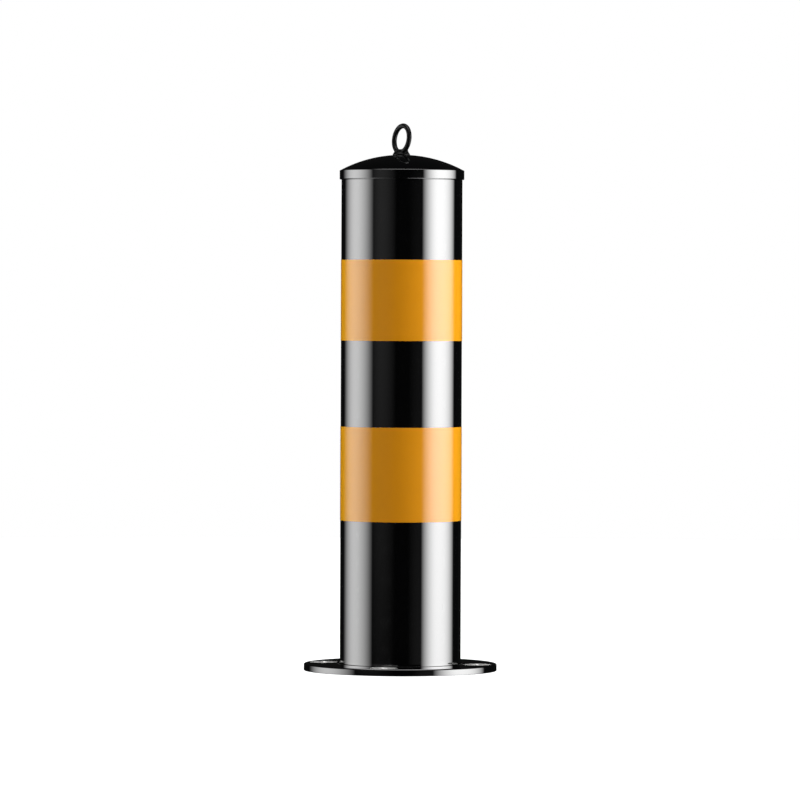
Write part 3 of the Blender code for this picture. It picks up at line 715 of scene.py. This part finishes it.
def hex_nut(node, corner_r, bore_r):
    """A hexagon nut with turned chamfers and a countersunk bore."""
    low, high = levels(node)
    flat_r, chamfer = corner_r * cos(pi / 6), corner_r * 0.14
    trim = [(0, low), (flat_r, low), (corner_r + 0.4, low + chamfer), (corner_r + 0.4, high - chamfer)]
    trim = turned([*trim, (flat_r, high), (0, high)], 96)
    bore = [(0, low - 1), (bore_r + 1.4, low - 0.6), (bore_r, low + 0.8), (bore_r, high - 0.8)]
    bore = turned([*bore, (bore_r + 1.4, high + 0.6), (0, high + 1)], 96)
    place(node, prism(polygon(6, corner_r), low, high), cuts=[bore], keeps=[trim])


def gas_spring():
    """The gas spring in the post: cylinder, gland, piston, rod and the foot that the rod stands in."""
    low, high = levels("gas_cylinder")
    outside, bore = radius("gas_cylinder"), radius("gas_gland") + GAP
    end = levels("spring_bracket")[0] - GAP
    groove = low + GROOVE_AT
    corners = [(bore, low, 0.3), (outside, low, 0.6), (outside, groove, 0.3)]
    corners += [(outside - GROOVE_DEPTH, groove + GROOVE_HALF, 0.6), (outside, groove + 2 * GROOVE_HALF, 0.3)]
    corners += [(outside, end, 3.0), (ROD_R, end, 0.4), (ROD_R, high, 0.8), (0, high, 0)]
    corners += [(0, CYLINDER_CAVITY_TOP, 0), (bore, CYLINDER_CAVITY_TOP, 1.0)]
    place("gas_cylinder", turned(rounded(corners), 72))
    for node in ("gas_gland", "gas_piston"):
        place(node, ring(ROD_R + GAP, radius(node), *levels(node), 72))
    low, high = levels("gas_rod")
    corners = [(0, low, 0), (ROD_R, low, 0.8), (ROD_R, high, 0.8), (0, high, 0)]
    place("gas_rod", turned(rounded(corners), SMALL))
    low, high = levels("rod_foot")
    socket = levels("gas_rod")[0] - GAP
    corners = [(ROD_R + GAP, high, 0.4), (ROD_R + GAP, socket, 0), (0, socket, 0), (0, low, 0)]
    corners += [(ROD_FOOT_R, low, 0.4), (ROD_FOOT_R, high, 1.2)]
    place("rod_foot", turned(rounded(corners), SMALL))


# Lock -----------------------------------------------------------------------------------------


def tooth_half_angle(at_radius):
    """Half the angle that an involute tooth of the pinion spans at a radius."""
    base = PITCH_R * cos(PRESSURE)
    at = acos(min(1.0, base / at_radius))
    thickness = pi * MODULE / 2 - BACKLASH / 2
    return thickness / (2 * PITCH_R) + (tan(PRESSURE) - PRESSURE) - (tan(at) - at)


def pinion_outline():
    """The pinion's outline, tooth by tooth from its root up one flank and down the other."""
    base, tip, root = PITCH_R * cos(PRESSURE), PITCH_R + ADDENDUM, PITCH_R - DEDENDUM
    radii = [root, base] + [base + (tip - base) * k / 8 for k in range(1, 9)]
    points = []
    for tooth in range(TEETH):
        angle = 2 * pi * tooth / TEETH
        half = [(r, tooth_half_angle(max(r, base))) for r in radii]
        for r, a in half:
            points.append((r * cos(angle - a), LOCK_Y + r * sin(angle - a)))
        for r, a in reversed(half):
            points.append((r * cos(angle + a), LOCK_Y + r * sin(angle + a)))
    return points


def bolt_outline(node, side, first, last):
    """A bar with a rack on its inner side, between first and last along Y.

    It points to +Y on the +X side where side is 1, and to -Y on the -X side where it is -1."""
    low, high = span(node)
    inner, outer = PITCH_R + DEDENDUM, max(abs(low.x), abs(high.x))
    tip, rear = (high.y, low.y) if side > 0 else (-low.y, high.y)
    pitch = pi * MODULE
    teeth = []
    for k in range(-8, 9):
        centre = LOCK_Y + (k + 0.5) * pitch
        if first + pitch / 2 <= centre <= last - pitch / 2:
            for depth, sign in ((-DEDENDUM, -1), (ADDENDUM, -1), (ADDENDUM, 1), (-DEDENDUM, 1)):
                half = pitch / 4 - BACKLASH / 4 - depth * tan(PRESSURE)
                teeth.append((PITCH_R - depth, centre + sign * half))
    if side > 0:
        nose = [(inner, tip - BOLT_NOSE), (inner + BOLT_NOSE, tip)]
        nose += [(outer - BOLT_NOSE, tip), (outer, tip - BOLT_NOSE)]
        return [(inner, rear), *teeth, *nose, (outer, rear)]
    nose = [(outer, BOLT_NOSE - tip), (outer - BOLT_NOSE, -tip)]
    nose += [(inner + BOLT_NOSE, -tip), (inner, BOLT_NOSE - tip)]
    return [(-x, y) for x, y in [*nose, *teeth, (inner, rear), (outer, rear)]]


def lock_holes(cover_at):
    """The holes that the lock's case and cover share: for the cover's screws, the gas rod and the lock rod.

    All of them go through the cover, and only the gas rod's goes through the case as well."""
    low = COVER_SCREW_HOLE_BOTTOM
    holes = [cylinder(COVER_SCREW_HOLE_R, low, ABOVE_CASE, 24, at) for at in cover_at]
    holes.append(cylinder(GAS_ROD_HOLE_R, BELOW_CASE, ABOVE_CASE, SMALL))
    holes.append(cylinder(ROD_R + GAP, JOURNAL_BOTTOM, ABOVE_CASE, SMALL, (0, LOCK_Y)))
    return holes


def lock_case():
    """The lock's case at the post's foot, its cover and the screws of both."""
    case_low, case_top = levels("lock_case")
    floor = case_low + CASE_FLOOR
    cover_at = [tuple(middle(f"lock_cover_screw_{i}").xy) for i in (1, 2, 3, 4)]
    grooves = []
    for side in (1, -1):
        x = sorted((side * (PITCH_R + DEDENDUM - GAP), side * BOLT_GROOVE_OUT))
        grooves.append(box(x, (-80, 80), (floor, ABOVE_CASE)))
    grooves.append(box(WELL_X, WELL_Y, (floor, ABOVE_CASE)))
    *threads, centre, journal = lock_holes(cover_at)
    case = ring(0, BORE_R - GAP, case_low, case_top, edge=0.6)
    place("lock_case", case, cuts=[*grooves, centre, journal, *threads, *case_sinks()])
    cover = ring(0, BORE_R - GAP, *levels("lock_cover"), edge=0.5)
    place("lock_cover", cover, cuts=lock_holes(cover_at))
    head = levels("lock_cover")[1] + GAP
    for i, at in enumerate(cover_at, 1):
        low, high = levels(f"lock_cover_screw_{i}")
        corners = [(0, low, 0), (COVER_SCREW_R, low, 0.4), (COVER_SCREW_R, head, 0)]
        corners += [(COVER_SCREW_HEAD_R, head, 0.2), (COVER_SCREW_HEAD_R, high, 1.0), (0, high, 0)]
        socket = prism(polygon(6, COVER_KEY_R, at), high - COVER_KEY_DEPTH, high + 3)
        place(f"lock_cover_screw_{i}", turned(rounded(corners), SMALL, at), cuts=[socket])
    for i, turn in enumerate(CASE_SCREW_TURNS, 1):
        narrow, wide = (-CROSS_HALF_W, CROSS_HALF_W), (-CROSS_HALF, CROSS_HALF)
        slot = box((CROSS_FLOOR, 75), narrow, wide)
        cross = box((CROSS_FLOOR, 75), wide, narrow)
        to_screw = Matrix.Translation((0, 0, middle("lock_case_screw_1").z)) @ about_z(turn)
        recess = [moved(slot, to_screw), moved(cross, to_screw)]
        place(f"lock_case_screw_{i}", case_screw(0, CASE_SCREW_HEAD, turn), cuts=recess)


def lock_spindle():
    """The key plug in the cap, the rod down the post and the pinion on its end."""
    axis = (0, LOCK_Y)
    low, high = levels("lock_rod")
    rod = turned(rounded([(0, low, 0), (ROD_R, low, 0.6), (ROD_R, high, 0.6), (0, high, 0)]), SMALL, axis)
    place("lock_rod", rod, at=(*axis, 0))
    low, high = levels("lock_pinion")
    bore = cylinder(ROD_R + GAP, -260, -210, SMALL, axis)
    place("lock_pinion", prism(pinion_outline(), low, high, 0.15), cuts=[bore], at=(*axis, 0))
    low, high = levels("lock_plug")
    plug = [(0, low, 0), (PLUG_R, low, 0.4), (PLUG_R, high, 0.8), (0, high, 0)]
    blind = cylinder(ROD_R + GAP, 550, PLUG_BORE_TOP, SMALL, axis)
    key = prism(polygon(3, KEY_R, axis, 90), high - KEY_DEPTH, high + 20)
    place("lock_plug", turned(rounded(plug), 96, axis), cuts=[blind, key], at=(*axis, 0))


def lock_housing():
    """The sleeve that the key plug turns in, and its nut with two flats."""
    axis = (0, LOCK_Y)
    low = levels("lock_housing")[0]
    top = dome_z(DOME_R - 0.2)
    body = [(HOUSING_BORE_R, low), (HOUSING_R, low), (HOUSING_R, top)]
    body = turned([*body, (13.4, top), (11, top), (HOUSING_BORE_R, top)], 96, axis)
    place("lock_housing", body, at=(*axis, 0))
    low, high = levels("lock_housing_nut")
    sides = ((HOUSING_NUT_FLAT, 30), (-30, -HOUSING_NUT_FLAT))
    flats = [box(x, (LOCK_Y - 30, LOCK_Y + 30), (low - 5, high + 5)) for x in sides]
    nut = ring(HOUSING_R + GAP, HOUSING_NUT_R, low, high, 96, axis, 0.5)
    place("lock_housing_nut", nut, cuts=flats, at=(*axis, 0))


def lock_bolts():
    """The two bolts that the pinion drives apart."""
    for node, side, first, last in (("bolt_front", -1, 36, 60), ("bolt_back", 1, 20, 46)):
        outline = bolt_outline(node, side, first, last)
        place(node, prism(outline, *levels(node), 0.25), at=tuple(middle(node)))


# Flange and casing ----------------------------------------------------------------------------


def screw_places():
    """The direction in degrees and the axis of each flange screw."""
    for turn in (SCREW_TURN + 90 * k for k in range(4)):
        yield turn, (SCREW_PCR * cos(radians(turn)), SCREW_PCR * sin(radians(turn)))


def cover_flange():
    """The ring at the ground, its four flush countersunk screws and the wiper round the post."""
    thick = levels("cover_flange")[1]
    low = levels("cover_screw_1")[0]
    corners = [(FLANGE_BORE_R, 0, 0), (radius("cover_flange"), 0, 0.6)]
    corners += [(radius("cover_flange"), thick, FLANGE_EDGE_R), (FLANGE_BORE_R, thick, 0.8)]
    wide, narrow = SCREW_HEAD_R + GAP, SCREW_SHANK_R + GAP
    sinks = []
    for k, (turn, at) in enumerate(screw_places(), 1):
        hole = [(0, -2), (narrow, -2), (narrow, 0), (wide, thick - 0.3), (wide + 0.5, thick + 0.2)]
        sinks.append(turned([*hole, (wide + 0.5, 12), (0, 12)], 96, at))
        screw = [(0, low, 0), (SCREW_SHANK_R, low, 1.0), (SCREW_SHANK_R, 0, 0)]
        screw += [(SCREW_HEAD_R, thick - 0.3, 0.15), (SCREW_HEAD_R - 0.3, thick, 0.2), (0, thick, 0)]
        socket = prism(polygon(6, SCREW_KEY_R, at, turn), thick - SCREW_KEY_DEPTH, thick + 5)
        lead = [(0, thick - 0.8), (SCREW_LEAD_R[0], thick - 0.8)]
        lead = turned([*lead, (SCREW_LEAD_R[1], thick + 0.5), (0, thick + 0.5)], 48, at)
        place(f"cover_screw_{k}", turned(rounded(screw), 96, at), cuts=[socket, lead], at=(*at, 0))
    place("cover_flange", turned(rounded(corners, 6), 192), cuts=sinks)

    low, high = levels("wiper_seal")
    neck, foot = FLANGE_BORE_R - GAP, CASING_BORE_R - GAP
    corners = [(LIP_R, low, 0.3), (foot, low, 0.3), (foot, WIPER_STEP, 0.3), (neck, WIPER_STEP, 0.3)]
    corners += [(neck, high - 0.5, 0.3), (LIP_R, high, 0.2)]
    place("wiper_seal", turned(rounded(corners)))


def casing_wall(low, high):
    """A cutter that leaves a gap round the casing tube, past a piece's two heights."""
    return cylinder(CASING_R + GAP, low - 9, high + 9)


def casing_tube():
    """The casing tube, with a window and a keeper box for each bolt at both of the post's heights."""
    low, high = levels("casing_tube")
    windows = []
    for word in ("raised", "lowered"):
        for side, face in ((1, "back"), (-1, "front")):
            keeper = f"keeper_{word}_{face}"
            a, b = span(keeper)
            at = middle(keeper)
            x = sorted((side * (PITCH_R + DEDENDUM - 1.0), side * WINDOW_OUT))
            z = (at.z - WINDOW_HALF_HEIGHT, at.z + WINDOW_HALF_HEIGHT)
            windows.append(box(x, sorted((side * 60, side * 95)), z))
            outer = box((a.x, b.x), sorted((side * 70, side * KEEPER_OUTSIDE)), (a.z, b.z), 2.0)
            x, z = (a.x + KEEPER_WALL, b.x - KEEPER_WALL), (a.z + KEEPER_WALL, b.z - KEEPER_WALL)
            hollow = box(x, sorted((side * 60, side * KEEPER_INSIDE)), z, 1.0)
            place(keeper, outer, cuts=[hollow, casing_wall(a.z, b.z)])
    place("casing_tube", ring(CASING_BORE_R, CASING_R, low, high, edge=0.5), cuts=windows)


def casing_fittings():
    """What is welded to the casing or stands in it: collar, guides, buffer, floor, drain and anchors."""
    low, high = levels("casing_collar")
    threads = [cylinder(SCREW_SHANK_R + GAP, THREAD_BOTTOM, 5, 48, at) for _, at in screw_places()]
    collar = ring(CASING_BORE_R, radius("casing_collar"), low, high, edge=0.8)
    place("casing_collar", collar, cuts=threads, shells=[weld_bead(low - 0.6)])

    place("guide_bush", ring(BUSH_BORE_R, CASING_BORE_R - GAP, *levels("guide_bush"), edge=0.8))
    for node in ("guide_rail_left", "guide_rail_right"):
        place(node, node_box(node, 0.5))
    place("buffer_ring", ring(*BUFFER_R, *levels("buffer_ring"), edge=2.0))
    low, high = levels("base_plate")
    drain = tuple(middle("drain_stub").xy)
    hole = cylinder(DRAIN_R[0], low - 5, high + 5, SMALL, drain)
    floor = ring(0, radius("base_plate"), low, high, edge=1.0)
    place("base_plate", floor, cuts=[hole], shells=[weld_bead(high + 1.0)])
    place("drain_stub", ring(*DRAIN_R, *levels("drain_stub"), SMALL, drain, 0.4))
    for k in range(4):
        node = f"anchor_fin_{k + 1}"
        low, high = levels(node)
        fin = box(FIN_X, (-FIN_HALF_T, FIN_HALF_T), (low, high), 0.6)
        to_hole = Matrix.Translation((FIN_HOLE_X, 0, (low + high) / 2)) @ Matrix.Rotation(pi / 2, 4, "X")
        eye = moved(cylinder(FIN_HOLE_R, -10, 10, SMALL), to_hole)
        cuts = [moved(eye, about_z(90 * k)), casing_wall(low, high)]
        place(node, moved(fin, about_z(90 * k)), cuts=cuts)


# Studio ---------------------------------------------------------------------------------------


def ground():
    """A plain white floor with a round hole for the casing, and almost no shadow on it."""
    inside = radius("casing_collar") + 2
    bm = bmesh.new()
    loops = []
    for r in (inside, FLOOR_R):
        angles = [2 * pi * i / FLOOR_SIDES for i in range(FLOOR_SIDES)]
        loops.append([bm.verts.new((r * cos(a), r * sin(a), 0)) for a in angles])
    for i in range(FLOOR_SIDES):
        j = (i + 1) % FLOOR_SIDES
        bm.faces.new((loops[0][i], loops[1][i], loops[1][j], loops[0][j]))
    floor = new_object("studio_floor", bm)
    look = Look("white_floor", Roughness=0.9)
    look.colour(look.blend(look.noise(3.0), (0.30, 0.30, 0.30), (0.32, 0.32, 0.32)))
    look.shader.inputs["Emission Color"].default_value = (1, 1, 1, 1)
    seen = look.add("LightPath").outputs["Is Camera Ray"]
    look.join(look.range(seen, 0.0, 1.0, FLOOR_FILL, 1.0, "LINEAR"), look.shader.inputs["Emission Strength"])
    floor.data.materials.append(look.material)
    floor.visible_glossy = False


# Softboxes, in degrees round from the camera's side and up from the horizon:
# side, where it starts, peaks and ends, how steeply it ends, strength,
# and where it is dimmest and brightest, with the dim share
SOFTBOXES = (
    (-1, 55.5, 91.0, 141.0, 2.0, 5.35, -16.0, 1.0, 0.55),
    (-1, 10.0, 40.0, 62.0, 1.0, 0.21, -5.0, 1.0, 0.0),
    (1, 39.5, 72.0, 120.0, 1.0, 11.7, -16.0, 1.0, 0.55),
    (1, 14.0, 36.0, 60.0, 1.0, 0.08, 4.0, -4.0, 0.0),
)
DARK = 0.006  # the light from everywhere else
OVERHEAD, OVERHEAD_FROM = 4.4, (60.0, 66.0)  # a lamp above, and where it fades in, in degrees up
STRIP_TOP, STRIP_END = 8.0, 17.0  # where the softboxes start to fade and end, in degrees up
# Far lamps that light matt faces only: side, degrees round, strength, colour
SIDE_LAMPS = (("left", -114.0, 1.9, (0.57, 1.0, 0.9)), ("right", 101.0, 1.52, (0.60, 1.0, 0.9)))
LAMP_WIDTH, LAMP_TILT = 40.0, 80.0  # in degrees, the tilt from straight down


def studio():
    """A dark studio with tall softboxes on both sides, against a white backdrop for the camera."""
    world = bpy.data.worlds.new("studio")
    bpy.context.scene.world = world
    world.use_nodes = True
    tree = world.node_tree
    tree.nodes.clear()

    def add(kind, *sources, **settings):
        node = tree.nodes.new("ShaderNode" + kind)
        for key, value in settings.items():
            setattr(node, key, value)
        for socket, source in zip(node.inputs, sources):
            if isinstance(source, bpy.types.NodeSocket):
                tree.links.new(source, socket)
            else:
                socket.default_value = source
        return node

    def maths(operation, *sources):
        return add("Math", *sources, operation=operation).outputs[0]

    def share(value, low, high, to_low=0.0, to_high=1.0):
        return add("MapRange", value, low, high, to_low, to_high).outputs[0]

    def hump(value, low, high, power=1.0):
        rise = maths("SINE", maths("MULTIPLY", share(value, low, high), pi / 2))
        return maths("POWER", rise, power)

    x, y, z = add("SeparateXYZ", add("TexCoord").outputs["Generated"]).outputs
    azimuth = maths("MULTIPLY", maths("ARCTAN2", x, maths("MULTIPLY", y, -1.0)), 180 / pi)
    elevation = maths("MULTIPLY", maths("ARCSINE", z), 180 / pi)
    boxes = 0.0
    for side, start, peak, end, power, strength, dimmest, brightest, dim in SOFTBOXES:
        turn = maths("MULTIPLY", azimuth, float(side))
        across = maths("MULTIPLY", hump(turn, start, peak), hump(turn, end, peak, power))
        along = share(elevation, dimmest, brightest, dim * strength, strength)
        boxes = maths("ADD", maths("MULTIPLY", across, along), boxes)
    tall = share(elevation, STRIP_END, STRIP_TOP)
    overhead = maths("MULTIPLY", share(elevation, *OVERHEAD_FROM), OVERHEAD)
    light = maths("ADD", maths("ADD", maths("MULTIPLY", boxes, tall), overhead), DARK)
    dark = add("Background", (1, 1, 1, 1), light)
    white = add("Background", (1, 1, 1, 1), 1.0)
    seen = add("LightPath").outputs["Is Camera Ray"]
    both = add("MixShader", seen, dark.outputs[0], white.outputs[0])
    add("OutputWorld", both.outputs[0])


def side_lamps():
    """One far lamp on each side."""
    for name, turn, strength, colour in SIDE_LAMPS:
        data = bpy.data.lights.new(f"side_lamp_{name}", "SUN")
        data.energy = strength
        data.color = colour
        data.angle = radians(LAMP_WIDTH)
        lamp = bpy.data.objects.new(data.name, data)
        bpy.context.scene.collection.objects.link(lamp)
        lamp.matrix_world = about_z(turn) @ Matrix.Rotation(radians(LAMP_TILT), 4, "X")
        lamp.visible_glossy = False


def camera():
    """The camera that was fitted to the picture: far in front of the bollard, with a long lens."""
    data = bpy.data.cameras.new("camera")
    data.sensor_width = 36.0
    data.lens = CAMERA_LENS
    data.clip_end = 100.0
    eye = bpy.data.objects.new("camera", data)
    bpy.context.scene.collection.objects.link(eye)
    level = Matrix.Rotation(radians(90 - CAMERA_DOWN), 4, "X") @ about_z(CAMERA_ROLL)
    eye.matrix_world = Matrix.Translation(Vector(CAMERA_AT) * MM) @ level
    bpy.context.scene.camera = eye


def main():
    post_tube()
    film("band_upper")
    film("band_lower")
    post_cap()
    eye_bolt()
    washers_and_nuts()
    gas_spring()
    lock_case()
    lock_spindle()
    lock_housing()
    lock_bolts()
    cover_flange()
    casing_tube()
    casing_fittings()
    ground()
    studio()
    side_lamps()
    camera()
    bpy.context.scene.view_settings.view_transform = "Standard"


main()
